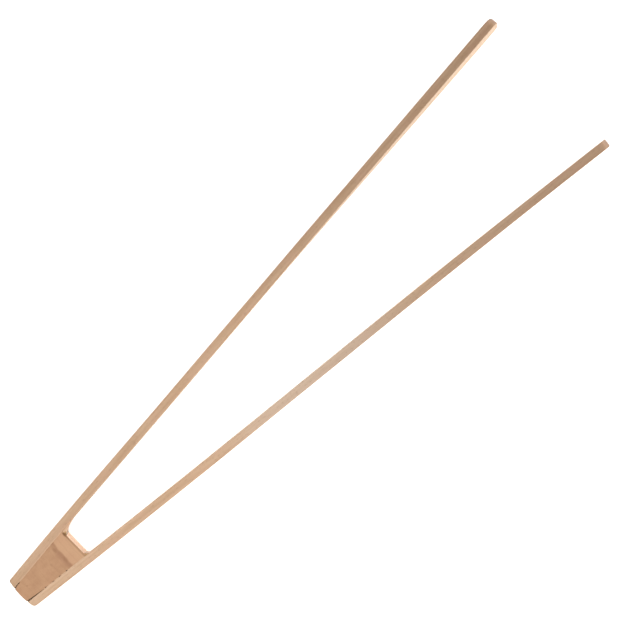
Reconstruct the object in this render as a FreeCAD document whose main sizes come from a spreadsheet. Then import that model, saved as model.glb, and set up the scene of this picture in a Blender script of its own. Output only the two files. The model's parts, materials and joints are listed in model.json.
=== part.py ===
import FreeCAD, Part
import os
import Sketcher

# Wooden kitchen tongs that spring open by themselves. Two long thin strips are glued to the
# sides of a short wedge, which spreads them into a V, and the wood itself is the spring.
#
# Frame: +X runs from the glued base end to the tips, +Y points to the left arm and +Z is up.
# The tongs lie on their side edges, so the strips stand on edge with their width along Z.
# The origin is the middle of the overall box, at its bottom. Lengths are in millimetres and
# angles in degrees.
#
# Each arm is one strip. It is split here at the line about which it bends when squeezed,
# with a narrow gap, into a root that stays with the wedge and a blade that swings.

SIZES = (
    ("arm_length", 300.0, "base end to tip, along the arm"),
    ("arm_width", 18.0, "across the flat face of a strip"),
    ("arm_thickness", 3.6, "through a strip"),
    ("wedge_length", 30.0, "base end to the top of the wedge"),
    ("wedge_base_width", 7.9, "across the wedge at the base end"),
    ("half_spread", 5.35, "angle of each arm to the centre line"),
    ("glue_thickness", 0.2, "between a strip and the wedge"),
    ("left_glue_start", 2.5, "open joint at the base end, left side"),
    ("right_glue_start", 9.6, "open joint at the base end, right side"),
    ("left_bead_reach", 5.5, "squeezed-out glue, along the left arm"),
    ("left_bead_spread", 1.6, "squeezed-out glue, along the top of the wedge, left"),
    ("right_bead_reach", 1.3, "squeezed-out glue, along the right arm"),
    ("right_bead_spread", 1.2, "squeezed-out glue, along the top of the wedge, right"),
    ("flexure_distance", 40.0, "top of the wedge to the line where an arm bends"),
    ("flexure_gap", 0.6, "between a root and its blade"),
    ("base_corner_radius", 1.2, "outer corner of each arm at the base end"),
    ("tip_corner_radius", 3.0, "corners of the flat face at the tip"),
    ("edge_easing", 0.3, "sanded edges of the strips"),
)

# Sides of the tongs: the sign of Y on which the arm lies.
SIDES = {"left": 1, "right": -1}

# Lengths that follow from the sheet, as expressions.
OVERALL_LENGTH = (
    "((sizes.arm_length - sizes.edge_easing) * cos(sizes.half_spread)"
    " + (sizes.arm_thickness / 2 - sizes.edge_easing) * sin(sizes.half_spread)"
    " + sizes.edge_easing)"
)
BASE_X = f"-{OVERALL_LENGTH} / 2"
HALF_BASE_WIDTH = "(sizes.wedge_base_width / 2)"
HALF_TOP_WIDTH = f"({HALF_BASE_WIDTH} + sizes.wedge_length * tan(sizes.half_spread))"
FLANK_LENGTH = "(sizes.wedge_length / cos(sizes.half_spread))"
HALF_THICKNESS = "(sizes.arm_thickness / 2)"
ARM_BASE_Y = (
    f"({HALF_BASE_WIDTH}"
    f" + (sizes.glue_thickness + {HALF_THICKNESS}) / cos(sizes.half_spread))"
)
FLEXURE_STATION = f"({FLANK_LENGTH} + sizes.flexure_distance)"


def make_sheet(doc):
    """The driving dimensions, one row each: name, number and what it measures."""
    sheet = doc.addObject("Spreadsheet::Sheet", "sizes")
    for row, (name, value, meaning) in enumerate(SIZES, 1):
        sheet.set(f"A{row}", name)
        sheet.set(f"B{row}", str(value))
        sheet.set(f"C{row}", meaning)
        sheet.setAlias(f"B{row}", name)
    doc.recompute()
    return sheet


def new_body(doc, label, base_y="0", turn="0"):
    """A body whose own frame starts at the base end, turned about Z by an expression."""
    body = doc.addObject("PartDesign::Body", label)
    body.Label = label
    body.Placement = FreeCAD.Placement(
        FreeCAD.Vector(), FreeCAD.Rotation(FreeCAD.Vector(0, 0, 1), 1)
    )
    body.setExpression("Placement.Base.x", BASE_X)
    body.setExpression("Placement.Base.y", base_y)
    body.setExpression("Placement.Rotation.Angle", turn)
    doc.recompute()
    return body


def floor_plane(body):
    """The body's own XY plane, on which all outlines are drawn."""
    for feature in body.Origin.OriginFeatures:
        if feature.Role == "XY_Plane":
            return feature
    raise RuntimeError(f"{body.Label} has no XY plane")


def draw_outline(body, corners):
    """A closed sketch of straight lines. Each corner is a pair of expressions, x and y."""
    sketch = body.newObject("Sketcher::SketchObject", f"{body.Label}_outline")
    sketch.AttachmentSupport = [(floor_plane(body), "")]
    sketch.MapMode = "FlatFace"
    points = [
        FreeCAD.Vector(body.evalExpression(x), body.evalExpression(y), 0)
        for x, y in corners
    ]
    for start, end in zip(points, points[1:] + points[:1]):
        sketch.addGeometry(Part.LineSegment(start, end))
    for line in range(len(points)):
        before = (line - 1) % len(points)
        sketch.addConstraint(Sketcher.Constraint("Coincident", before, 2, line, 1))
    for line, (point, (x, y)) in enumerate(zip(points, corners)):
        for kind, value, expression in (("DistanceX", point.x, x), ("DistanceY", point.y, y)):
            place = sketch.addConstraint(Sketcher.Constraint(kind, -1, 1, line, 1, value))
            sketch.setExpression(f"Constraints[{place}]", expression)
    return sketch


def pad_outline(body, corners, height, start="0"):
    """The outline raised along Z, from a start height, by a height."""
    sketch = draw_outline(body, corners)
    sketch.setExpression("AttachmentOffset.Base.z", start)
    pad = body.newObject("PartDesign::Pad", f"{body.Label}_pad")
    pad.Profile = sketch
    pad.setExpression("Length", height)
    body.Document.recompute()
    return pad


def nearest_edge(shape, x, y, z):
    """Name of the edge whose middle lies nearest to a point."""
    point = FreeCAD.Vector(x, y, z)
    distances = [
        edge.valueAt((edge.FirstParameter + edge.LastParameter) / 2).distanceToPoint(point)
        for edge in shape.Edges
    ]
    return f"Edge{distances.index(min(distances)) + 1}"


def round_edges(body, base, name, places, radius):
    """Round the edges whose middles lie nearest to the places, and what runs on from them."""
    fillet = body.newObject("PartDesign::Fillet", f"{body.Label}_{name}")
    edges = sorted({nearest_edge(base.Shape, *place) for place in places})
    fillet.Base = (base, edges)
    fillet.setExpression("Radius", radius)
    body.Document.recompute()
    return fillet


def build_wedge(doc):
    """The block between the arms, tapered to the spread of the arms."""
    body = new_body(doc, "wedge")
    corners = [
        ("0", f"-{HALF_BASE_WIDTH}"),
        ("sizes.wedge_length", f"-{HALF_TOP_WIDTH}"),
        ("sizes.wedge_length", HALF_TOP_WIDTH),
        ("0", HALF_BASE_WIDTH),
    ]
    pad_outline(body, corners, "sizes.arm_width")
    return body


def build_glue_line(doc, side):
    """The dried film in one joint, with the bead that was squeezed out at the wedge's top.

    Its frame lies on the flank of the wedge: x along the flank, y towards the arm. The film
    starts a little way in, where the joint stands open, and sinks below the eased edges."""
    sign = SIDES[side]
    body = new_body(
        doc,
        f"{side}_glue_line",
        f"{sign} * {HALF_BASE_WIDTH}",
        f"{sign} * sizes.half_spread",
    )
    reach = f"sizes.{side}_bead_reach"
    spread = f"sizes.{side}_bead_spread"
    start = f"sizes.{side}_glue_start"
    corners = [
        (start, "0"),
        (FLANK_LENGTH, "0"),
        (
            f"{FLANK_LENGTH} - {spread} * sin(sizes.half_spread)",
            f"-{sign} * {spread} * cos(sizes.half_spread)",
        ),
        (f"{FLANK_LENGTH} + {reach}", f"{sign} * sizes.glue_thickness"),
        (start, f"{sign} * sizes.glue_thickness"),
    ]
    pad_outline(body, corners, "sizes.arm_width - 2 * sizes.edge_easing", "sizes.edge_easing")
    return body


def new_arm_body(doc, side, portion):
    """A body in the frame of one arm: x along the middle of the strip, from the base end."""
    sign = SIDES[side]
    return new_body(
        doc,
        f"{side}_arm_{portion}",
        f"{sign} * {ARM_BASE_Y}",
        f"{sign} * sizes.half_spread",
    )


def build_arm_root(doc, sheet, side):
    """The strip from the base end to the flexure line, cut flush with the wedge's base."""
    sign = SIDES[side]
    body = new_arm_body(doc, side, "root")
    slant = f"{HALF_THICKNESS} * tan(sizes.half_spread)"
    far_end = f"{FLEXURE_STATION} - sizes.flexure_gap / 2"
    outer_y = f"{sign} * {HALF_THICKNESS}"
    inner_y = f"-{sign} * {HALF_THICKNESS}"
    corners = [(slant, outer_y), (far_end, outer_y), (far_end, inner_y), (f"-{slant}", inner_y)]
    pad = pad_outline(body, corners, "sizes.arm_width")

    half_thickness = sheet.arm_thickness / 2
    outer_corner = (0, sign * half_thickness, sheet.arm_width / 2)
    rounded = round_edges(body, pad, "corner", [outer_corner], "sizes.base_corner_radius")

    middle = body.evalExpression(far_end) / 2
    long_edges = [
        (middle, y, z)
        for y in (-half_thickness, half_thickness)
        for z in (0, sheet.arm_width)
    ]
    round_edges(body, rounded, "easing", long_edges, "sizes.edge_easing")
    return body


def build_arm_blade(doc, sheet, side):
    """The strip from the flexure line to the tip, with its tip corners rounded."""
    body = new_arm_body(doc, side, "blade")
    near_end = f"{FLEXURE_STATION} + sizes.flexure_gap / 2"
    corners = [
        (near_end, f"-{HALF_THICKNESS}"),
        ("sizes.arm_length", f"-{HALF_THICKNESS}"),
        ("sizes.arm_length", HALF_THICKNESS),
        (near_end, HALF_THICKNESS),
    ]
    pad = pad_outline(body, corners, "sizes.arm_width")

    tip_corners = [(sheet.arm_length, 0, z) for z in (0, sheet.arm_width)]
    rounded = round_edges(body, pad, "tip", tip_corners, "sizes.tip_corner_radius")

    half_thickness = sheet.arm_thickness / 2
    half_width = sheet.arm_width / 2
    tip_edges = [(sheet.arm_length, y, half_width) for y in (-half_thickness, half_thickness)]
    round_edges(body, rounded, "easing", tip_edges, "sizes.edge_easing")
    return body


def check_document(doc, parts):
    """Stop on any failed object and on any sub-part that isn't one valid solid."""
    for item in doc.Objects:
        if "Invalid" in item.State or "Error" in item.State:
            raise RuntimeError(f"{item.Label} failed: {item.State}")
    for body in parts:
        shape = body.Shape
        if shape.isNull() or not shape.isValid() or len(shape.Solids) != 1:
            raise RuntimeError(f"{body.Label} isn't one valid solid")


def check_rounding(parts):
    """Stop if a rounding took no wood away."""
    for body in parts:
        for feature in body.Group:
            if feature.TypeId == "PartDesign::Fillet":
                if feature.Shape.Volume >= feature.Base[0].Shape.Volume:
                    raise RuntimeError(f"{feature.Label} rounds nothing")


def export_parts(parts):
    """One STEP file for each sub-part, named by its label."""
    os.makedirs("parts", exist_ok=True)
    for body in parts:
        body.Shape.exportStep(f"parts/{body.Label}.step")
        print(f"{body.Label}: {body.Shape.Volume:.1f} mm3")


def main():
    doc = FreeCAD.newDocument("kitchen_tongs")
    sheet = make_sheet(doc)
    parts = [build_wedge(doc)]
    for side in SIDES:
        parts.append(build_glue_line(doc, side))
        parts.append(build_arm_root(doc, sheet, side))
        parts.append(build_arm_blade(doc, sheet, side))
    doc.recompute()
    check_document(doc, parts)
    check_rounding(parts)
    export_parts(parts)


main()
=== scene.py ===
import json
import math

import bpy
import numpy as np
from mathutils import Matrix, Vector


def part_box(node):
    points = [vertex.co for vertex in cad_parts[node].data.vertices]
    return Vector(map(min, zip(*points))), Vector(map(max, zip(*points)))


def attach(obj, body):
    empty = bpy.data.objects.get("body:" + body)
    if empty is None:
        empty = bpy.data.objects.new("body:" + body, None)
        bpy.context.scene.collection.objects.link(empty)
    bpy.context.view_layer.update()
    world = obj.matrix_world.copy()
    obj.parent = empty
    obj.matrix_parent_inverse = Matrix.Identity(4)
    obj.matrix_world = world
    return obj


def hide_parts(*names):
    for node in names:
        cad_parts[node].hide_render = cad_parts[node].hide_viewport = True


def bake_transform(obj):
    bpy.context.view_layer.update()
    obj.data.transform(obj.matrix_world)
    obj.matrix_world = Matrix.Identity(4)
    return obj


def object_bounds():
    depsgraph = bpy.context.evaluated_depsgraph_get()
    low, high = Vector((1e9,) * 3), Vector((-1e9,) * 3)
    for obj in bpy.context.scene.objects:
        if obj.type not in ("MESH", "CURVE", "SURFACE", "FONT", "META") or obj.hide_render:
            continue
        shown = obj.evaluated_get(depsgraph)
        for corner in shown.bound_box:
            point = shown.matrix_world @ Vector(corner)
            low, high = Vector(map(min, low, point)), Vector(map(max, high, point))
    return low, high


# Wooden spring tongs lying on their side edges. The frame's +X runs from the glued base end
# to the tips, +Y points to the left arm and +Z is up. All lengths are in metres.
#
# A strip also has a frame of its own: x along it from the base end, y through its thickness
# with the outer face at the positive end, and z across its width.

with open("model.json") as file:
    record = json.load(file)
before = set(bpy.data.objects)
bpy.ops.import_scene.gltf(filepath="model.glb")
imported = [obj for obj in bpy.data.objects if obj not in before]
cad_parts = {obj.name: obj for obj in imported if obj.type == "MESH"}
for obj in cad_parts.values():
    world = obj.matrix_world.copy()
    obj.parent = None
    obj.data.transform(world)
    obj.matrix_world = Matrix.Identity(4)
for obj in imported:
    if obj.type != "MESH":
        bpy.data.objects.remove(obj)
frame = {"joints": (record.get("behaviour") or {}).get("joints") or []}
CAD_LOW, CAD_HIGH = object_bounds()

MM = 0.001

# Places and sizes that come from the frame.
WEDGE_LOW, WEDGE_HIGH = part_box("wedge")
BASE_X = WEDGE_LOW.x
WEDGE_LENGTH = WEDGE_HIGH.x - WEDGE_LOW.x
WIDTH = WEDGE_HIGH.z - WEDGE_LOW.z
PIVOTS = {joint["child"]: Vector(joint["pos_m"]) for joint in frame["joints"]}
SIDES = {"left": 1, "right": -1}

# The strips, as they are in the CAD model.
HALF_SPREAD = math.radians(5.35)
ARM_THICKNESS = 3.6 * MM
GLUE_THICKNESS = 0.2 * MM
TIP_RADIUS = 3.0 * MM
ARM_LENGTH = (CAD_HIGH.x - BASE_X - ARM_THICKNESS / 2 * math.sin(HALF_SPREAD)) / math.cos(HALF_SPREAD)
FLANK_LENGTH = WEDGE_LENGTH / math.cos(HALF_SPREAD)
WEDGE_HALF_BASE = WEDGE_HIGH.y - WEDGE_LENGTH * math.tan(HALF_SPREAD)

# The base end, which was sanded by hand after gluing.
CROWN_HEIGHT = 0.33 * MM        # its middle stands this far proud of a flat end
CROWN_RADIUS = 40 * MM
CROWN_REACH = 5 * MM
JOINT_DRAW = {"left": 0.36 * MM, "right": 0.0}      # how far a joint lies inwards at the base end
JOINT_DRAW_LENGTH = 20 * MM
WEAR_CURVE = 1.5                # power by which sanding and wear grow towards the base end


# ---------------------------------------------------------------------------------------
# Mesh building
# ---------------------------------------------------------------------------------------

def smooth_step(values):
    """Eases from 0 at 0 to 1 at 1, and stays there outside."""
    values = np.clip(values, 0, 1)
    return values * values * (3 - 2 * values)


def level_list(low, high, easing, between, arc_steps=4):
    """Levels through a slab from one flat face to the other: (height, inset of the outline).

    Next to both faces the levels follow a quarter circle, so the face's edges are eased."""
    angles = [math.pi / 2 * step / arc_steps for step in range(arc_steps + 1)]
    start = [(low + easing * (1 - math.cos(a)), easing * (1 - math.sin(a))) for a in angles]
    end = [(low + high - height, inset) for height, inset in reversed(start)]
    span = high - low - 2 * easing
    middle = [(low + easing + span * (i + 1) / (between + 1), 0.0) for i in range(between)]
    return start + middle + end


def ring_of(grid):
    """The boundary points of a grid, once round."""
    return np.concatenate([grid[:-1, 0], grid[-1, :-1], grid[:0:-1, -1], grid[0, :0:-1]])


def layered_faces(columns, rows, rings_between):
    """Faces for a stack of grids of which only the first and the last keep their inner points."""
    cap = columns * rows
    index = np.arange(cap).reshape(columns, rows)
    ring = ring_of(index)
    around = len(ring)
    last_cap = cap + around * rings_between
    loops = [ring]
    loops += [cap + around * i + np.arange(around) for i in range(rings_between)]
    loops.append(last_cap + ring)

    quads = np.stack([index[:-1, :-1], index[:-1, 1:], index[1:, 1:], index[1:, :-1]], axis=-1)
    first_faces = quads.reshape(-1, 4)
    last_faces = first_faces[:, ::-1] + last_cap
    side_faces = [
        np.stack([a, np.roll(a, -1), np.roll(b, -1), b], axis=-1)
        for a, b in zip(loops[:-1], loops[1:])
    ]
    return np.concatenate([first_faces, last_faces, *side_faces])


def layered_mesh(name, grids):
    """A closed mesh through a stack of equal grids of points.

    The first and last grids are the two flat faces. Of those between only the rings count."""
    inner = [ring_of(grid) for grid in grids[1:-1]]
    points = np.concatenate([grids[0].reshape(-1, 3), *inner, grids[-1].reshape(-1, 3)])
    columns, rows = grids[0].shape[:2]
    faces = layered_faces(columns, rows, len(inner))

    mesh = bpy.data.meshes.new(name)
    mesh.from_pydata(points.tolist(), [], faces.tolist())
    mesh.validate()
    mesh.update()
    face_outwards(mesh)
    mesh.polygons.foreach_set("use_smooth", [True] * len(mesh.polygons))
    obj = bpy.data.objects.new(name, mesh)
    bpy.context.scene.collection.objects.link(obj)
    return obj


def mesh_points(mesh):
    """The vertices of a mesh as an array of points."""
    points = np.zeros(len(mesh.vertices) * 3)
    mesh.vertices.foreach_get("co", points)
    return points.reshape(-1, 3)


def signed_volume(mesh):
    """Volume of a closed mesh, negative where its faces look inwards."""
    points = mesh_points(mesh)
    mesh.calc_loop_triangles()
    corners = np.array([triangle.vertices[:] for triangle in mesh.loop_triangles])
    a, b, c = (points[corners[:, i]] for i in range(3))
    return float(np.einsum("ij,ij->i", a, np.cross(b, c)).sum() / 6)


def face_outwards(mesh):
    """Turns all faces round if they look inwards."""
    if signed_volume(mesh) < 0:
        mesh.flip_normals()


def keep_attribute(obj, name, values):
    """Stores a number or a vector for each vertex, for the material to read."""
    kind = "FLOAT" if values.ndim == 1 else "FLOAT_VECTOR"
    key = "value" if values.ndim == 1 else "vector"
    attribute = obj.data.attributes.new(name, kind, "POINT")
    attribute.data.foreach_set(key, values.astype(np.float32).ravel())


def round_grid_corner(along, across, end, direction, half_width, radius):
    """Bends the corner squares of a grid at one end of a strip into quarter circles."""
    p = (direction * (along - end) + radius) / radius
    q = (np.abs(across) - half_width + radius) / radius
    inside = (p > 0) & (q > 0)
    p = np.where(inside, np.clip(p, 0, 1), 0)
    q = np.where(inside, np.clip(q, 0, 1), 0)
    round_along = end + direction * radius * (p * np.sqrt(1 - q * q / 2) - 1)
    round_across = np.sign(across) * (half_width - radius + radius * q * np.sqrt(1 - p * p / 2))
    return np.where(inside, round_along, along), np.where(inside, round_across, across)


# ---------------------------------------------------------------------------------------
# The hand-made base end, which the arms, the wedge and the glue share
# ---------------------------------------------------------------------------------------

def near_base(distance, length):
    """Falls evenly from 1 at the base end to 0 at a length from it, and stays there."""
    return np.clip(1 - distance / length, 0, 1)


def crown_base(x, y):
    """X with the base end sanded to a shallow arc across the tongs."""
    arc = y * y / (2 * CROWN_RADIUS) - CROWN_HEIGHT
    return x + near_base(x - BASE_X, CROWN_REACH) * arc


def joint_draw(side, distance):
    """How far a strip's inner face, its glue and the wedge's flank lie inwards of their line."""
    return JOINT_DRAW[side] * near_base(distance, JOINT_DRAW_LENGTH)


# ---------------------------------------------------------------------------------------
# The arms
# ---------------------------------------------------------------------------------------

EDGE_EASING = 0.14 * MM
BASE_CORNER_RADIUS = {"left": 0.7 * MM, "right": 1.3 * MM}   # outer edges at the base end
BASE_FACE_RADIUS = 0.8 * MM     # corners of the flat face at the base end
BASE_SANDING = {"left": 0.50 * MM, "right": 0.32 * MM}  # taken off the outer faces at the base
BASE_SANDING_LENGTH = 45 * MM
SAWN_WAVES = ((41, 1.0, 1.0), (97, 0.6, 2.0))   # waves in an outer face: pace, share and phase
SAWN_WAVE_HEIGHT = 0.03 * MM
BOW = {"left": -0.05 * MM, "right": -0.32 * MM}     # inward bow in the middle of each arm
SWAY = {"left": -0.05 * MM, "right": 0.28 * MM}     # and the slight S that lies over it
BOW_RUN_IN = 1 / 6              # share of the free length over which both set in
TWIST = {"left": math.radians(4.2), "right": math.radians(-0.6)}    # turn of the tip
TWIST_START = 150 * MM
EASING_RUN_OUT = 4.0 * MM       # past the wedge the inner edges' easing starts within this
TIP_ROUNDING = {"left": 1.3 * MM, "right": 0.7 * MM}    # outer edge of the tip, in plan
TIP_TRIM = {"left": -0.80 * MM, "right": 0.55 * MM}     # the tips were cut a little unevenly

STATION_STEP = 1.5 * MM         # mesh spacing along an arm
BASE_STATIONS = 5               # columns over the rounded corners at the base end
TIP_STATIONS = 9                # and at the tip
ROWS_FROM_EDGE = np.array([0, 0.1, 0.25, 0.45, 0.8, 1.3, 1.9, 3.0, 4.5, 6.0, 7.5]) * MM
ARM_LEVELS = 8                  # levels through an arm between its eased edges


def strip_stations():
    """Distances along an arm for the columns of its grid."""
    base = np.linspace(0, BASE_FACE_RADIUS, BASE_STATIONS)
    tip = ARM_LENGTH - TIP_RADIUS + np.linspace(0, TIP_RADIUS, TIP_STATIONS)
    count = round((tip[0] - base[-1]) / STATION_STEP)
    middle = np.linspace(base[-1], tip[0], count + 1)
    return np.concatenate([base, middle[1:-1], tip])


def strip_rows():
    """Distances across the flat face for the rows of its grid, from one edge to the other."""
    lower = ROWS_FROM_EDGE - WIDTH / 2
    return np.concatenate([lower, [0.0], -lower[::-1]])


def corner_retreat(height, radius):
    """How far a rounded outer edge draws back from its end, at a height through the strip."""
    depth = max(0.0, height - (ARM_THICKNESS / 2 - radius))
    return radius - math.sqrt(radius * radius - depth * depth)


def strip_grid(side, height, inset):
    """One level of a strip in its own frame.

    The inner edges are eased only past the wedge, because the glued end was sanded flush."""
    half = WIDTH / 2
    base_inset = inset if height > 0 else 0.0
    base_radius = BASE_FACE_RADIUS - base_inset
    slant = height * math.tan(HALF_SPREAD)
    start = slant + corner_retreat(height, BASE_CORNER_RADIUS[side]) + base_inset
    end = ARM_LENGTH - TIP_TRIM[side] - corner_retreat(height, TIP_ROUNDING[side]) - inset
    stations = np.interp(
        strip_stations(),
        [0, BASE_FACE_RADIUS, ARM_LENGTH - TIP_RADIUS, ARM_LENGTH],
        [start, start + base_radius, end - TIP_RADIUS + inset, end],
    )
    along, across = np.meshgrid(stations, strip_rows() / half, indexing="ij")
    past_wedge = smooth_step((along - FLANK_LENGTH) / EASING_RUN_OUT)
    edge = half - base_inset - (inset - base_inset) * past_wedge
    across = across * edge
    along, across = round_grid_corner(along, across, end, 1, edge, TIP_RADIUS - inset)
    along, across = round_grid_corner(along, across, start, -1, edge, base_radius)
    return np.stack([along, np.full_like(along, height), across], axis=-1)


def sand_faces(side, along, through):
    """Through the strip, with its outer face sanded and its inner face drawn in at the base."""
    outer = smooth_step(through / ARM_THICKNESS + 0.5)
    sanding = BASE_SANDING[side] * near_base(along, BASE_SANDING_LENGTH) ** WEAR_CURVE
    waves = sum(
        share * np.sin(along * pace + phase * SIDES[side]) for pace, share, phase in SAWN_WAVES
    )
    moved = outer * (SAWN_WAVE_HEIGHT * waves - sanding)
    return through + moved - (1 - outer) * joint_draw(side, along)


def shape_strip(side, points):
    """The small ways in which a wooden strip isn't a straight flat one."""
    along, through, across = points.T.copy()
    through = sand_faces(side, along, through)

    free = np.clip((along - FLANK_LENGTH) / (ARM_LENGTH - FLANK_LENGTH), 0, 1)
    bow = BOW[side] * np.sin(math.pi * free) + SWAY[side] * np.sin(2 * math.pi * free)
    through = through + bow * smooth_step(free / BOW_RUN_IN)

    # The twist turns the strip round its upper edge and keeps it within its width.
    turn = TWIST[side] * smooth_step((along - TWIST_START) / (ARM_LENGTH - TWIST_START))
    across = across * (1 - np.abs(np.sin(turn)) * ARM_THICKNESS / WIDTH)
    top_stays = WIDTH / 2 * np.sin(turn)
    turned_through = through * np.cos(turn) + across * np.sin(turn) - top_stays
    turned_across = across * np.cos(turn) - through * np.sin(turn)
    return np.stack([along, turned_through, turned_across], axis=-1)


def arm_to_frame(side, points):
    """Points of a strip's own frame in the tongs' frame."""
    pivot = PIVOTS[f"{side}_arm"]
    base_y = abs(pivot.y) - (pivot.x - BASE_X) * math.tan(HALF_SPREAD)
    along, through, across = points.T
    x = BASE_X + along * math.cos(HALF_SPREAD) - through * math.sin(HALF_SPREAD)
    y = base_y + along * math.sin(HALF_SPREAD) + through * math.cos(HALF_SPREAD)
    return np.stack([crown_base(x, y), SIDES[side] * y, across + WIDTH / 2], axis=-1)


def make_arm(side):
    """One whole strip, from the base end to the tip, which bends past the wedge."""
    half = ARM_THICKNESS / 2
    levels = level_list(-half, half, EDGE_EASING, ARM_LEVELS)
    grids = [strip_grid(side, height, inset) for height, inset in levels]
    obj = layered_mesh(f"{side}_arm_strip", grids)
    grain = mesh_points(obj.data)
    points = arm_to_frame(side, shape_strip(side, grain))
    obj.data.vertices.foreach_set("co", points.ravel())
    obj.data.update()
    face_outwards(obj.data)
    keep_attribute(obj, "grain", grain)
    return obj


def bend_arm(obj, side):
    """Bakes the strip's placement into its mesh and hides the CAD root and blade that it stands for.
    """
    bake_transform(obj)
    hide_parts(f"{side}_arm_root", f"{side}_arm_blade")


# ---------------------------------------------------------------------------------------
# The wedge
# ---------------------------------------------------------------------------------------

WEDGE_EASING = 0.08 * MM
WEDGE_SHRINK = 0.02 * MM    # the end grain lies a little lower than the strips' edges
WORN_FLANK = {              # wood missing from a flank at the base end, and for how far
    "left": (0.46 * MM, 3.1 * MM),
    "right": (0.50 * MM, 9.0 * MM),
}
NICKS = {                   # small nicks in a flank: distance from the base end and depth
    "left": ((2.7 * MM, 0.20 * MM),),
    "right": (
        (9.3 * MM, 0.10 * MM),
        (13.2 * MM, 0.06 * MM),
        (16.5 * MM, 0.12 * MM),
        (20.0 * MM, 0.14 * MM),
    ),
}
NICK_HALF_LENGTH = 0.45 * MM
WEDGE_COLUMNS = 150
WEDGE_ROWS = 17
WEDGE_LEVELS = 10


def missing_wood(side, distance):
    """How much of a flank is worn away at a distance from the base end, without its nicks."""
    depth, length = WORN_FLANK[side]
    return depth * near_base(distance, length) ** WEAR_CURVE


def flank_y(side, distance):
    """Y of one flank of the wedge at a distance from the base end."""
    missing = missing_wood(side, distance) + joint_draw(side, distance)
    for place, nick in NICKS[side]:
        missing = missing + nick * smooth_step(1 - np.abs(distance - place) / NICK_HALF_LENGTH)
    return SIDES[side] * (WEDGE_HALF_BASE + distance * math.tan(HALF_SPREAD) - missing)


def wedge_grid(height, inset):
    """One level of the wedge: a grid between its flanks."""
    distances = np.linspace(0, WEDGE_LENGTH, WEDGE_COLUMNS)
    shares = np.linspace(0, 1, WEDGE_ROWS)
    left = flank_y("left", distances) - inset
    right = flank_y("right", distances) + inset
    x = np.interp(distances, [0, WEDGE_LENGTH], [BASE_X + inset, BASE_X + WEDGE_LENGTH - inset])
    y = right[:, None] * (1 - shares) + left[:, None] * shares
    x = crown_base(x[:, None], y)
    return np.stack([x, y, np.full_like(x, height)], axis=-1)


def make_wedge():
    """The block between the arms, with its grain along Z, so that its end grain is up."""
    levels = level_list(WEDGE_SHRINK, WIDTH - WEDGE_SHRINK, WEDGE_EASING, WEDGE_LEVELS)
    obj = layered_mesh("wedge_block", [wedge_grid(height, inset) for height, inset in levels])
    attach(obj, "base")
    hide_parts("wedge")
    return obj


# ---------------------------------------------------------------------------------------
# The glue
# ---------------------------------------------------------------------------------------

GLUE_START = 0.05 * MM          # from the base end
GLUE_SINK = 0.03 * MM
OPEN_JOINT = {"left": 3.1 * MM, "right": 9.6 * MM}      # how far the glue lies low in the joint
OPEN_RUN_OUT = {"left": 1.2 * MM, "right": 6.4 * MM}    # and over what length it rises again
OPEN_DEPTH = 1.8 * MM
OPEN_FADE = 0.4                 # share of the open joint at which its painted shade starts to fade
NICK_VOID_DEPTH = 1.4 * MM      # the glue lies this much lower at a nick

BEAD_REACH = {"left": 7.6 * MM, "right": 1.8 * MM}      # along the arm
BEAD_SPREAD = {"left": 2.5 * MM, "right": 1.15 * MM}    # along the wedge's sawn face
BEAD_FULLNESS = {"left": 0.17, "right": 0.28}           # 0 is a hollow corner, 0.5 a straight slope
BEAD_THINNING = 0.30            # share of its size that a bead loses towards its lower end
BEAD_WAVER = ((9.0, 0.06, 1), (23.0, 0.04, 0))  # down the bead: pace, share of its size, phase
BEAD_SINK = 0.5 * MM            # at the thin end of the bead
BEAD_EDGE = 0.02 * MM           # thickness at the thin end, and the first step past the corner
BEAD_FOOT = 0.05 * MM           # how far the bead's foot on the arm runs past its surface

GLUE_DARK_OFFSET = {"left": 1.7 * MM, "right": 0.0}     # from the arm to the darkest glue
GLUE_DARK_RADIUS = {"left": 1.5 * MM, "right": 1.9 * MM}
GLUE_DARKNESS = {"left": 0.85, "right": 0.4}

FILM_COLUMNS = 110
BEAD_COLUMNS = 14
GLUE_ROWS = 5
GLUE_LEVELS = 24


def film_columns(side):
    """The film's faces on the wedge and on the arm, in the flank's frame."""
    film = np.linspace(GLUE_START, FLANK_LENGTH, FILM_COLUMNS)
    draw = joint_draw(side, film)
    on_wedge = np.stack([film, -missing_wood(side, film) - draw], axis=-1)
    on_arm = np.stack([film, GLUE_THICKNESS - draw], axis=-1)
    return on_wedge, on_arm


def bead_columns(side):
    """The bead's free surface, a hollow curve from the wedge to the arm, and its foot there."""
    spread, reach = BEAD_SPREAD[side], BEAD_REACH[side]
    corner = np.array([FLANK_LENGTH, GLUE_THICKNESS])
    start = np.array([
        FLANK_LENGTH - spread * math.sin(HALF_SPREAD),
        -spread * math.cos(HALF_SPREAD),
    ])
    end = np.array([FLANK_LENGTH + reach, GLUE_THICKNESS - BEAD_EDGE])
    pull = corner + BEAD_FULLNESS[side] * (start + end - 2 * corner)
    t = np.linspace(0, 1, BEAD_COLUMNS)[:, None]
    surface = (1 - t) ** 2 * start + 2 * t * (1 - t) * pull + t ** 2 * end
    foot = FLANK_LENGTH + np.linspace(BEAD_EDGE, reach + BEAD_FOOT, BEAD_COLUMNS)
    return surface, np.stack([foot, np.full_like(foot, GLUE_THICKNESS)], axis=-1)


def glue_plan(side):
    """A grid of points across the glue in the flank's frame: the film, then its bead."""
    film_inner, film_outer = film_columns(side)
    bead_inner, bead_outer = bead_columns(side)
    inner = np.concatenate([film_inner, bead_inner])[:, None, :]
    outer = np.concatenate([film_outer, bead_outer])[:, None, :]
    shares = np.linspace(0, 1, GLUE_ROWS)[None, :, None]
    return inner * (1 - shares) + outer * shares


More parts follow.
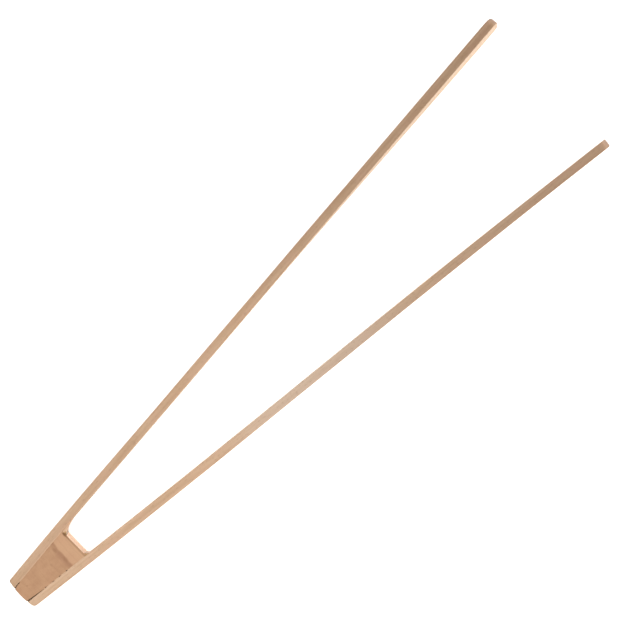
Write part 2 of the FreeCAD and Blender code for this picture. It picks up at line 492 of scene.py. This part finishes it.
def bead_size(side, share):
    """The bead's size at a share of its height: it thinned out and wavered as it ran down."""
    waver = sum(
        size * math.sin(pace * share + phase * SIDES[side]) for pace, size, phase in BEAD_WAVER
    )
    return 1 + (waver - BEAD_THINNING) * (1 - share)


def scale_bead(plan, size):
    """The glue's plan with its bead drawn in towards the corner of the wedge and the arm."""
    corner = np.array([FLANK_LENGTH, GLUE_THICKNESS])
    scaled = plan.copy()
    scaled[FILM_COLUMNS:] = corner + (plan[FILM_COLUMNS:] - corner) * size
    return scaled


def glue_top(side, along):
    """How far the glue's upper end lies below the wood: deep where the joint is open."""
    filled = smooth_step((along - OPEN_JOINT[side]) / OPEN_RUN_OUT[side] + 1)
    sink = GLUE_SINK + OPEN_DEPTH * (1 - filled)
    for place, _ in NICKS[side]:
        distance = np.abs(along * math.cos(HALF_SPREAD) - place) / NICK_HALF_LENGTH
        sink = sink + NICK_VOID_DEPTH * np.clip(1 - distance * distance, 0, 1)
    bead = np.clip((along - FLANK_LENGTH) / BEAD_REACH[side], 0, 1)
    return sink + bead * BEAD_SINK


def glue_grid(side, plan, share):
    """One level of the glue, at a share of its height."""
    sink = glue_top(side, plan[..., 0])
    along, across = np.moveaxis(scale_bead(plan, bead_size(side, share)), -1, 0)
    x = BASE_X + along * math.cos(HALF_SPREAD) - across * math.sin(HALF_SPREAD)
    y = WEDGE_HALF_BASE + along * math.sin(HALF_SPREAD) + across * math.cos(HALF_SPREAD)
    height = sink + share * (WIDTH - 2 * sink)
    return np.stack([crown_base(x, y), SIDES[side] * y, height], axis=-1)


def glue_darkness_and_joint_shade(side, points):
    """How dark the glue is at each point: thick by the corner, and painted shade deep in the open
    joint.
    """
    darkest = np.array([
        BASE_X + WEDGE_LENGTH,
        SIDES[side] * (WEDGE_HIGH.y - GLUE_DARK_OFFSET[side]),
    ])
    distance = np.linalg.norm(points[:, :2] - darkest, axis=1)
    thick = GLUE_DARKNESS[side] * (1 - smooth_step(distance / GLUE_DARK_RADIUS[side]))
    # Painted shade: glue deep in the open joint is darkened, as shade falls in the crevice.
    share = (points[:, 0] - BASE_X) / OPEN_JOINT[side]
    open_joint_shade = 1 - smooth_step((share - OPEN_FADE) / (1 - OPEN_FADE))
    return np.maximum(thick, open_joint_shade)


def make_glue_line(side):
    """The film between the wedge and one strip, and the bead that was squeezed out."""
    plan = glue_plan(side)
    grids = [glue_grid(side, plan, share) for share in np.linspace(0, 1, GLUE_LEVELS)]
    obj = layered_mesh(f"{side}_glue_bead", grids)
    # The depth attribute holds how thick the glue is and the painted shade in the open joint.
    keep_attribute(obj, "depth", glue_darkness_and_joint_shade(side, mesh_points(obj.data)))
    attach(obj, "base")
    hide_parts(f"{side}_glue_line")
    return obj


# ---------------------------------------------------------------------------------------
# Materials
# ---------------------------------------------------------------------------------------

class Shading:
    """One material's nodes, added in short calls that return the output to link on."""

    def __init__(self, name):
        self.material = bpy.data.materials.new(name)
        self.material.use_nodes = True
        self.nodes = self.material.node_tree.nodes
        self.links = self.material.node_tree.links
        self.shader = self.nodes["Principled BSDF"]

    def put(self, socket, value):
        """Links an output to a socket, or sets the socket to a plain value."""
        if isinstance(value, bpy.types.NodeSocket):
            self.links.new(value, socket)
        else:
            socket.default_value = value

    def node(self, kind, settings=None, **inputs):
        """A node with its settings and, by socket name, its inputs."""
        node = self.nodes.new(kind)
        for key, value in (settings or {}).items():
            setattr(node, key, value)
        for key, value in inputs.items():
            self.put(node.inputs[key], value)
        return node

    def attribute(self, name, output):
        return self.node("ShaderNodeAttribute", {"attribute_name": name}).outputs[output]

    def position(self):
        """The place in the object's own coordinates, which are the tongs' frame."""
        return self.node("ShaderNodeTexCoord").outputs["Object"]

    def split(self, vector):
        """The X, Y and Z of a vector."""
        return self.node("ShaderNodeSeparateXYZ", Vector=vector).outputs[:]

    def vector_math(self, operation, vector, other=(0, 0, 0)):
        node = self.node("ShaderNodeVectorMath", {"operation": operation})
        self.put(node.inputs[0], vector)
        self.put(node.inputs[1], other)
        return node.outputs["Value" if operation == "LENGTH" else "Vector"]

    def stretch(self, vector, scale, offset=(0, 0, 0)):
        """A vector moved and then scaled along each axis."""
        moved = self.vector_math("ADD", vector, offset)
        return self.vector_math("MULTIPLY", moved, scale)

    def noise(self, vector, detail=3.0, roughness=0.5):
        node = self.node(
            "ShaderNodeTexNoise", Vector=vector, Scale=1.0, Detail=detail, Roughness=roughness
        )
        return node.outputs["Fac"]

    def math(self, operation, a, b=0.0):
        node = self.node("ShaderNodeMath", {"operation": operation})
        self.put(node.inputs[0], a)
        self.put(node.inputs[1], b)
        return node.outputs[0]

    def times(self, a, b):
        return self.math("MULTIPLY", a, b)

    def spread(self, value, low, high, to_low=0.0, to_high=1.0):
        """Maps a range of values smoothly to another, and holds it there outside."""
        node = self.node("ShaderNodeMapRange", {"interpolation_type": "SMOOTHSTEP"})
        for socket, number in zip(node.inputs, (value, low, high, to_low, to_high)):
            self.put(socket, number)
        return node.outputs["Result"]

    def ramp(self, value, stops):
        """A colour ramp: each stop is a position and a linear RGB colour."""
        node = self.node("ShaderNodeValToRGB", Fac=value)
        elements = node.color_ramp.elements
        while len(elements) < len(stops):
            elements.new(0.5)
        for element, (position, color) in zip(elements, stops):
            element.position = position
            element.color = (*color, 1)
        return node.outputs["Color"]

    def mix(self, share, a, b, blend="MIX"):
        node = self.node("ShaderNodeMix", {"data_type": "RGBA", "blend_type": blend})
        self.put(node.inputs["Factor"], share)
        for socket, color in zip((s for s in node.inputs if s.type == "RGBA"), (a, b)):
            self.put(socket, (*color, 1) if isinstance(color, tuple) else color)
        return next(s for s in node.outputs if s.type == "RGBA")

    def layers(self, base, *layers, blend="MIX"):
        """A colour with others laid over it in turn: each layer is a share and a colour."""
        for share, color in layers:
            base = self.mix(share, base, color, blend)
        return base

    def bump(self, height, strength, distance):
        node = self.node("ShaderNodeBump", Height=height, Strength=strength, Distance=distance)
        return node.outputs["Normal"]

    def surface(self, color, roughness, specular, normal=None):
        """Sets the shader and returns the material."""
        self.put(self.shader.inputs["Base Color"], color)
        self.put(self.shader.inputs["Roughness"], roughness)
        self.put(self.shader.inputs["Specular IOR Level"], specular)
        if normal is not None:
            self.put(self.shader.inputs["Normal"], normal)
        return self.material


WOOD_RELIEF = 0.06 * MM         # depth of the bump in bare wood

# Textures in an arm's wood, in waves per metre along, through and across the strip.
WANDER_PACE = (22, 60, 60)      # how the growth rings wander
FIBRE_PACE = (60, 3600, 3600)
STREAK_PACE = (14, 620, 620)
PATCH_PACE = (55, 190, 190)
BLUSH_PACE = (110, 260, 260)
FLECK_PACE = (420, 3100, 1700)
PORE_PACE = (260, 7200, 7200)

# The pith lies beside the strip and leans along it.
PITH_LEAN = 0.035
PITH_THROUGH = 34 * MM
PITH_ACROSS = 11 * MM
PITH_VARIATION = 2 * MM
RINGS_PER_METRE = 560.0
RING_WANDER = 2.2               # in ring widths

# Linear RGB colours of an arm's wood.
STREAK_COLORS = (
    (0.28, (0.500, 0.315, 0.185)),
    (0.50, (0.585, 0.380, 0.232)),
    (0.74, (0.655, 0.440, 0.280)),
)
FIBRE_COLOR = (0.50, 0.31, 0.185)
LATE_WOOD_COLOR = (0.47, 0.275, 0.165)
RING_LINE_COLOR = (0.36, 0.200, 0.115)
PATCH_COLOR = (0.66, 0.47, 0.32)
BLUSH_COLOR = (0.62, 0.36, 0.25)
BLEACHED_COLOR = (0.62, 0.50, 0.40)
FLECK_COLOR = (0.270, 0.140, 0.075)
PORE_COLOR = (0.33, 0.185, 0.105)

# By what a face's colour is multiplied: painted light on the flat faces, painted shade towards the
# tip.
FLAT_FACE_LIGHT_GAIN = (1.15, 1.28, 1.38)
# Painted shade on the narrow faces towards the tip, where the light falls off.
TIP_SHADE_GAIN = (0.560, 0.550, 0.560)
# Painted shade at the very end of the tip.
TIP_END_SHADE_GAIN = (0.740, 0.720, 0.760)

BLEACHED_PLACE = 148 * MM       # the middle of an arm's palest stretch
# The painted shade towards the tip deepens over this stretch.
TIP_SHADE_FROM = 90 * MM
TIP_SHADE_TO = 280 * MM


def growth_ring(s, grain, seed):
    """Place within a year's growth, 0 to 1, in rings round the pith."""
    wander = s.noise(s.stretch(grain, WANDER_PACE, seed), detail=2)
    pith = (0, PITH_THROUGH, PITH_ACROSS + seed[1] * PITH_VARIATION)
    radius = s.vector_math("LENGTH", s.stretch(grain, (PITH_LEAN, 1, 1), pith))
    rings = s.math("ADD", s.times(radius, RINGS_PER_METRE), s.times(wander, RING_WANDER))
    return s.math("FRACT", rings)


def long_grain_color(s, grain, along, fibres, paleness, seed):
    """Colour of the wood itself, without its flecks and pores."""
    ring = growth_ring(s, grain, seed)
    late_wood = s.math("POWER", ring, 3.0)
    ring_line = s.spread(ring, 0.93, 1.0)
    streaks = s.noise(s.stretch(grain, STREAK_PACE, seed), detail=3)
    patches = s.noise(s.stretch(grain, PATCH_PACE, seed), detail=2)
    blush = s.noise(s.stretch(grain, BLUSH_PACE, (seed[0] + 3, seed[1], 0)), detail=1)
    past_middle = s.math("ABSOLUTE", s.math("SUBTRACT", along, BLEACHED_PLACE))
    return s.layers(
        s.ramp(streaks, STREAK_COLORS),
        (s.spread(fibres, 0.30, 0.72, 0.0, 0.55), FIBRE_COLOR),
        (s.times(late_wood, 0.30), LATE_WOOD_COLOR),
        (s.times(ring_line, 0.34), RING_LINE_COLOR),
        (s.spread(patches, 0.35, 0.72, 0.0, 0.30), PATCH_COLOR),
        (s.spread(blush, 0.45, 0.70, 0.0, 0.22), BLUSH_COLOR),
        (s.spread(past_middle, 15 * MM, 60 * MM, paleness, 0.0), BLEACHED_COLOR),
    )


def ray_flecks(s, grain, seed):
    """Rays cut through, as short dashes in some cells of a long pattern."""
    cells = s.node(
        "ShaderNodeTexVoronoi",
        {"feature": "F1"},
        Vector=s.stretch(grain, FLECK_PACE, seed), Scale=1.0, Randomness=1.0,
    )
    lot = s.node("ShaderNodeSeparateColor", Color=cells.outputs["Color"]).outputs["Red"]
    in_dash = s.spread(cells.outputs["Distance"], 0.16, 0.34, 1.0, 0.0)
    return s.times(in_dash, s.spread(lot, 0.62, 0.78))


def arm_wood(name, tip, tone, tip_shade_strength, paleness, seed):
    """Beech in a long strip: straight grain along x, fine fibres, pores and short ray flecks.

    It reads the strip's own coordinates, so the grain stays in the wood where the arm bends.
    Painted light makes its flat faces paler than the narrow ones, which darken to the tip as painted
    shade."""
    s = Shading(name)
    grain = s.attribute("grain", "Vector")
    along, through, _ = s.split(grain)
    fibres = s.noise(s.stretch(grain, FIBRE_PACE, seed), detail=4, roughness=0.62)
    fleck = ray_flecks(s, grain, seed)
    pore = s.spread(s.noise(s.stretch(grain, PORE_PACE, seed), detail=1), 0.64, 0.76)

    half = ARM_THICKNESS / 2
    off_middle = s.math("ABSOLUTE", through)
    flat = s.spread(off_middle, half - 0.03 * MM, half - 0.005 * MM)
    narrow = s.spread(off_middle, half - 0.12 * MM, half - 0.02 * MM, 1.0, 0.25)
    # Painted shade: the narrow faces darken towards the tip, where the light falls off.
    painted_tip_shade = s.times(s.spread(along, TIP_SHADE_FROM, TIP_SHADE_TO), narrow)
    # Painted shade on the rounded end of the tip, which turns away from the light.
    tip_end_shade = s.times(s.spread(along, tip - 1.8 * MM, tip - 0.7 * MM), narrow)

    color = long_grain_color(s, grain, along, fibres, paleness, seed)
    # Painted light: the flat faces are made paler, as the light from the side makes them.
    color = s.mix(flat, color, FLAT_FACE_LIGHT_GAIN, "MULTIPLY")
    color = s.layers(color, (s.times(fleck, 0.50), FLECK_COLOR), (s.times(pore, 0.30), PORE_COLOR))
    # Painted shade towards the tip and at its end, then the arm's tone.
    color = s.layers(
        color,
        (s.times(painted_tip_shade, tip_shade_strength), TIP_SHADE_GAIN),
        (tip_end_shade, TIP_END_SHADE_GAIN),
        (1.0, tone),
        blend="MULTIPLY",
    )

    roughness = s.math("ADD", s.spread(fibres, 0.2, 0.8, 0.50, 0.68), s.times(fleck, -0.10))
    relief = s.math("SUBTRACT", s.times(fibres, 0.6), s.times(pore, 0.8))
    relief = s.math("SUBTRACT", relief, s.times(fleck, 0.25))
    normal = s.bump(relief, 0.55, WOOD_RELIEF)
    return s.surface(color, roughness, specular=0.35, normal=normal)


# Textures in the wedge's wood, in waves per metre along the frame's X, Y and Z.
WARP_PACE = (180, 180, 8)       # how the growth rings waver
GRIT_PACE = (5200, 5200, 70)    # pores seen end on
MOTTLE_PACE = (420, 420, 20)
BLOTCH_PACE = (150, 150, 10)
RAY_ANGLE_PACE = 220.0          # waves per radian round the pith
RAY_LENGTH_PACE = 260.0         # and per metre away from it

WEDGE_PITH = (BASE_X + 68 * MM, -2.5 * MM)     # its X and Y, past the sawn face
GRAIN_LEAN = 0.03
RING_WARP = 1.3 * MM
YEAR_BOUNDARY = 45.65 * MM      # from the pith, between two years' growth
FINE_RING_SPACING = 2.7 * MM

# Linear RGB colours of the wedge's wood.
MOTTLE_COLORS = (
    (0.30, (0.440, 0.240, 0.130)),
    (0.52, (0.470, 0.263, 0.144)),
    (0.75, (0.505, 0.288, 0.160)),
)
INNER_YEARS_COLOR = (0.570, 0.335, 0.193)
BOUNDARY_COLOR = (0.330, 0.165, 0.088)
FINE_RING_COLOR = (0.33, 0.170, 0.092)
BLOTCH_COLOR = (0.49, 0.255, 0.150)
RAY_COLOR = (0.58, 0.36, 0.215)
GRIT_COLOR = (0.26, 0.130, 0.068)
SPECK_COLOR = (0.270, 0.130, 0.060)
# The sawn face: paler side grain, with painted light in its colour.
SAWN_FACE_LIT_COLOR = (0.930, 0.690, 0.520)
STAIN_COLOR = (0.200, 0.098, 0.036)

SPECKS = (      # dark streaks along the wedge's grain: place, reach in x and in y, strength
    (4.3 * MM, 0.8 * MM, 0.7 * MM, 0.6 * MM, 0.30),
    (17.2 * MM, 0.0 * MM, 0.6 * MM, 1.2 * MM, 0.28),
    (22.3 * MM, 3.4 * MM, 0.9 * MM, 1.6 * MM, 0.40),
    (22.9 * MM, -2.4 * MM, 1.4 * MM, 1.9 * MM, 0.30),
    (29.8 * MM, 5.2 * MM, 1.1 * MM, 1.4 * MM, 0.80),    # soaked with glue
)


def speck_share(s, place, x, y, reach_x, reach_y, strength):
    """How much of a dark streak shows at a place."""
    scaled = s.stretch(place, (1 / reach_x, 1 / reach_y, 0), (-(BASE_X + x), -y, 0))
    return s.spread(s.vector_math("LENGTH", scaled), 0.3, 1.0, strength, 0.0)


def end_grain_color(s, place, grit, rays, radius):
    """Colour of the end grain, paler inside the year boundary than outside it."""
    mottle = s.noise(s.stretch(place, MOTTLE_PACE), detail=3)
    blotch = s.noise(s.stretch(place, BLOTCH_PACE), detail=1)
    inside = s.spread(radius, YEAR_BOUNDARY - 0.7 * MM, YEAR_BOUNDARY, 1.0, 0.0)
    boundary = s.times(
        s.spread(radius, YEAR_BOUNDARY - 0.8 * MM, YEAR_BOUNDARY + 0.2 * MM),
        s.spread(radius, YEAR_BOUNDARY + 0.2 * MM, YEAR_BOUNDARY + 2.8 * MM, 1.0, 0.0),
    )
    years = s.math("FRACT", s.times(radius, 1 / FINE_RING_SPACING))
    return s.layers(
        s.ramp(mottle, MOTTLE_COLORS),
        (s.times(inside, 0.85), INNER_YEARS_COLOR),
        (s.times(boundary, s.spread(blotch, 0.35, 0.62, 0.35, 0.78)), BOUNDARY_COLOR),
        (s.times(s.spread(years, 0.80, 1.0), 0.16), FINE_RING_COLOR),
        (s.spread(blotch, 0.45, 0.72, 0.0, 0.20), BLOTCH_COLOR),
        (s.spread(rays, 0.60, 0.74, 0.0, 0.30), RAY_COLOR),
        (s.spread(grit, 0.56, 0.74, 0.0, 0.45), GRIT_COLOR),
        *((speck_share(s, place, *speck), SPECK_COLOR) for speck in SPECKS),
    )


def glue_stain(s, x, y, z):
    """Glue that soaked into the edge by the sawn face, most near the left arm's bead."""
    by_edge = s.spread(x, WEDGE_HIGH.x - 0.95 * MM, WEDGE_HIGH.x - 0.65 * MM)
    on_face = s.spread(z, WIDTH - 0.30 * MM, WIDTH - 0.12 * MM)
    near_left = s.spread(y, WEDGE_HIGH.y * 0.35, WEDGE_HIGH.y * 0.85, 0.45, 1.0)
    off_corner = s.spread(y, WEDGE_HIGH.y - 0.9 * MM, WEDGE_HIGH.y - 0.3 * MM, 1.0, 0.2)
    return s.times(s.times(s.times(by_edge, on_face), near_left), off_corner)


def wedge_wood():
    """Beech cut across: rings round a pith 38 mm past the wedge, rays and tiny pores.

    The sawn face between the arms is paler than the end grain: side grain, and painted light."""
    s = Shading("wedge_end_grain")
    place = s.position()
    centred = s.stretch(place, (1, 1, GRAIN_LEAN), (-WEDGE_PITH[0], -WEDGE_PITH[1], 0))
    warp = s.noise(s.stretch(place, WARP_PACE), detail=2)
    radius = s.math("ADD", s.vector_math("LENGTH", centred), s.times(warp, RING_WARP))

    from_pith_x, from_pith_y, _ = s.split(centred)
    turned = s.times(s.math("ARCTAN2", from_pith_y, from_pith_x), RAY_ANGLE_PACE)
    polar = s.node("ShaderNodeCombineXYZ", X=turned, Y=s.times(radius, RAY_LENGTH_PACE))
    rays = s.noise(polar.outputs["Vector"], detail=2)
    grit = s.noise(s.stretch(place, GRIT_PACE), detail=2, roughness=0.7)

    x, y, z = s.split(place)
    # The sawn face's colour is paler side grain with painted light in it.
    sawn = s.spread(x, WEDGE_HIGH.x - 0.06 * MM, WEDGE_HIGH.x - 0.01 * MM, 0.0, 0.8)
    color = s.layers(
        end_grain_color(s, place, grit, rays, radius),
        (sawn, SAWN_FACE_LIT_COLOR),
        (s.times(glue_stain(s, x, y, z), 0.85), STAIN_COLOR),
    )
    relief = s.math("SUBTRACT", s.times(rays, 0.3), s.times(grit, 0.7))
    roughness = s.spread(grit, 0.2, 0.8, 0.60, 0.78)
    normal = s.bump(relief, 0.5, WOOD_RELIEF)
    return s.surface(color, roughness, specular=0.3, normal=normal)


GLUE_CLOUD_PACE = (900, 900, 500)   # waves per metre
GLUE_CLOUDING = 0.35
GLUE_RELIEF = 0.12 * MM
GLUE_COLORS = (
    (0.0, (0.580, 0.360, 0.215)),
    (0.45, (0.380, 0.210, 0.075)),
    (0.85, (0.180, 0.094, 0.028)),
)


def dried_glue():
    """Amber wood glue: dark where it lies thick in the corner, pale where it thins out; painted shade
    in the open joint.
    """
    s = Shading("dried_glue")
    cloud = s.noise(s.stretch(s.position(), GLUE_CLOUD_PACE), detail=3)
    clouding = s.times(s.math("SUBTRACT", cloud, 0.5), GLUE_CLOUDING)
    # The depth attribute brings both the glue's thickness and the painted shade in the open joint.
    color = s.ramp(s.math("ADD", s.attribute("depth", "Fac"), clouding), GLUE_COLORS)
    roughness = s.spread(cloud, 0.3, 0.7, 0.30, 0.48)
    normal = s.bump(cloud, 0.35, GLUE_RELIEF)
    return s.surface(color, roughness, specular=0.3, normal=normal)


def give(obj, material):
    """Makes a material the piece's only one."""
    obj.data.materials.clear()
    obj.data.materials.append(material)


# ---------------------------------------------------------------------------------------
# Floor, light and camera
# ---------------------------------------------------------------------------------------

CAMERA_HEIGHT = 1.45            # above the upper edges of the tongs
SENSOR_WIDTH = 36               # in millimetres, as the camera's lens is
VIEW_WIDTH = 250.45 * MM        # what the camera sees across, at the upper edges
VIEW_TURN = math.radians(44.1)  # from the picture's right to the tongs' +X
VIEW_CENTRE = Vector((BASE_X + 164.2 * MM, 1.6 * MM, WIDTH))

FLOOR_HALF = 6.0
FLOOR_GLOW = 0.60               # the floor gives off some light, as a light table does
ROOM_LIGHT = 0.45
SIDE_BOX_REACH = 1.2
SIDE_BOX_HEIGHT = 0.28


def make_floor():
    """A wide, pale and glowing floor under the tongs."""
    mesh = bpy.data.meshes.new("floor")
    corners = [(-1, -1), (1, -1), (1, 1), (-1, 1)]
    points = [(x * FLOOR_HALF, y * FLOOR_HALF, 0) for x, y in corners]
    mesh.from_pydata(points, [], [(0, 1, 2, 3)])
    floor = bpy.data.objects.new("floor", mesh)
    bpy.context.scene.collection.objects.link(floor)
    s = Shading("white_floor")
    s.put(s.shader.inputs["Emission Color"], (1, 1, 1, 1))
    s.put(s.shader.inputs["Emission Strength"], FLOOR_GLOW)
    give(floor, s.surface((0.93, 0.93, 0.93, 1), roughness=0.9, specular=0.1))


def make_room():
    """Even white light from all sides."""
    world = bpy.data.worlds.new("white_room")
    world.use_nodes = True
    background = world.node_tree.nodes["Background"]
    background.inputs["Color"].default_value = (1, 1, 1, 1)
    background.inputs["Strength"].default_value = ROOM_LIGHT
    bpy.context.scene.world = world


def make_light(name, place, target, size, power):
    """A square soft box that looks at a point."""
    data = bpy.data.lights.new(name, "AREA")
    data.shape = "SQUARE"
    data.size = size
    data.energy = power
    light = bpy.data.objects.new(name, data)
    light.location = place
    light.rotation_euler = (Vector(target) - Vector(place)).to_track_quat("-Z", "Y").to_euler()
    light.visible_camera = False
    bpy.context.scene.collection.objects.link(light)


def make_lights():
    """Soft boxes overhead by the base end, low at the picture's right and low past the tips."""
    make_light("overhead_box", (BASE_X - 0.08, 0, 0.60), (BASE_X + 0.05, 0, 0), size=0.5, power=2.4)
    right = Vector((math.cos(VIEW_TURN), -math.sin(VIEW_TURN), 0))
    side_place = right * SIDE_BOX_REACH + Vector((0, 0, SIDE_BOX_HEIGHT))
    make_light("side_box", side_place, (0, 0, 0.01), size=0.6, power=10)
    wedge_face = (WEDGE_HIGH.x, 0, WIDTH / 2)
    make_light("front_box", (0.90, 0, 0.15), wedge_face, size=0.25, power=3)


def make_camera():
    """Straight above, with the tongs running from the lower left to the upper right."""
    data = bpy.data.cameras.new("camera")
    data.sensor_width = SENSOR_WIDTH
    data.lens = SENSOR_WIDTH * CAMERA_HEIGHT / VIEW_WIDTH
    data.clip_start = 0.1
    data.clip_end = 20
    camera = bpy.data.objects.new("camera", data)
    camera.location = VIEW_CENTRE + Vector((0, 0, CAMERA_HEIGHT))
    camera.rotation_euler = (0, 0, -VIEW_TURN)
    bpy.context.scene.collection.objects.link(camera)
    bpy.context.scene.camera = camera


# ---------------------------------------------------------------------------------------
# The scene
# ---------------------------------------------------------------------------------------

make_camera()
make_floor()
make_room()
make_lights()
bpy.context.scene.view_settings.view_transform = "Standard"

# Each arm's tone, paleness and seed, and how strong the painted shade towards its tip is.
ARM_LOOKS = {
    "left": {"tone": (0.90, 0.885, 0.865), "tip_shade_strength": 0.52, "paleness": 0.0, "seed": (0.7, 1.9, 0.3)},
    "right": {"tone": (1.0, 1.0, 1.0), "tip_shade_strength": 0.70, "paleness": 0.45, "seed": (2.6, 0.4, 1.1)},
}
for side in SIDES:
    arm = make_arm(side)
    give(arm, arm_wood(f"{side}_arm_beech", ARM_LENGTH - TIP_TRIM[side], **ARM_LOOKS[side]))
    bend_arm(arm, side)

give(make_wedge(), wedge_wood())

glue = dried_glue()
for side in SIDES:
    give(make_glue_line(side), glue)
